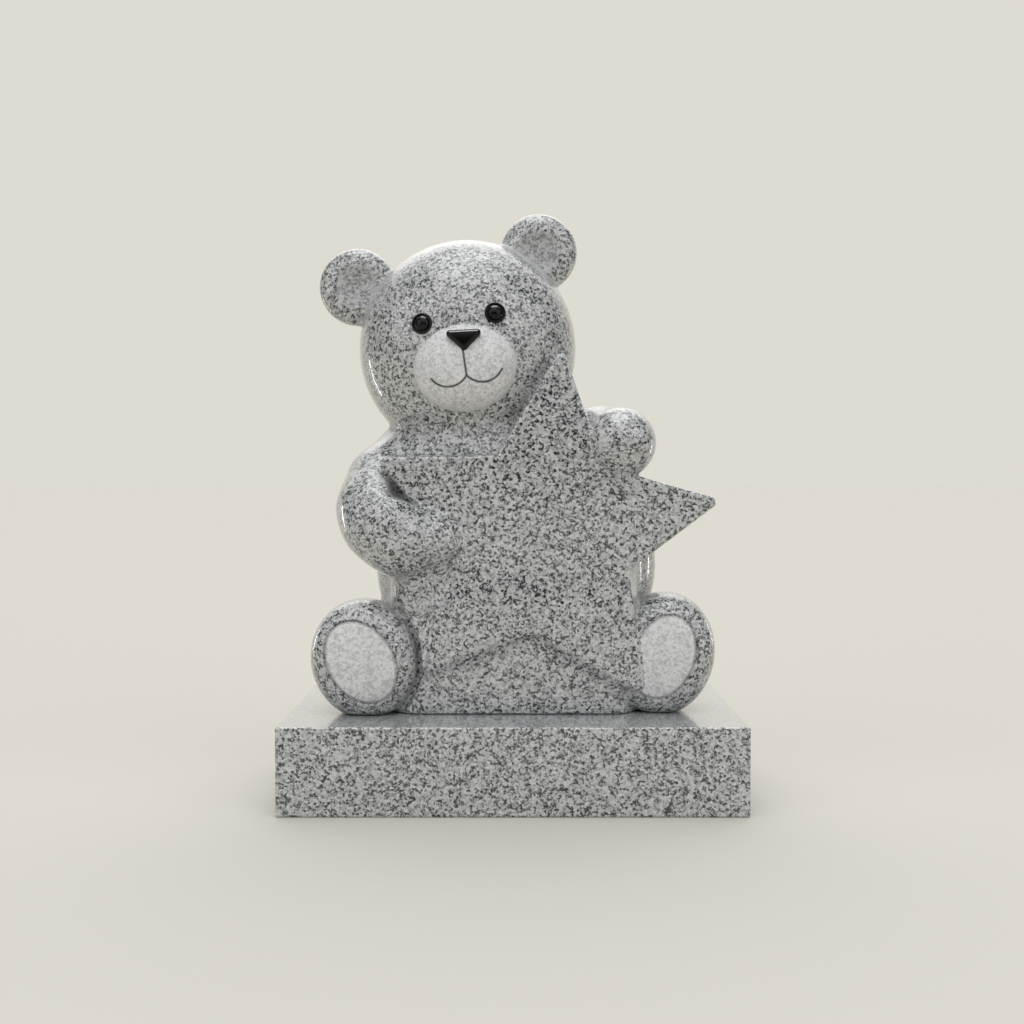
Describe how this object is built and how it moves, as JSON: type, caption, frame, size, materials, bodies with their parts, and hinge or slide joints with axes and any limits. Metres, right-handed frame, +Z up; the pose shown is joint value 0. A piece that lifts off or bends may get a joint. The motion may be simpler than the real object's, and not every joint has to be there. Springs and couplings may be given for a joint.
{
  "type": "teddy bear headstone",
  "caption": "Granite memorial: a sitting teddy bear hugging a fat upright star, carved in one block, on a rectangular base slab.",
  "frame": {"origin": "middle of the base's underside, on the ground", "axes": "+X to the viewer's right along the base's long side, +Y to the back, +Z up"},
  "size_m": [0.5334, 0.3048, 0.7059],
  "materials": {
    "speckled_granite": "polished light grey granite with dark flecks; honed on the muzzle, ear cups and soles",
    "black_granite": "mirror polished"
  },
  "bodies": {
    "root": {"base": "speckled_granite", "bear": "speckled_granite", "left_eye": "black_granite", "right_eye": "black_granite", "nose": "black_granite"}
  },
  "joints": []
}
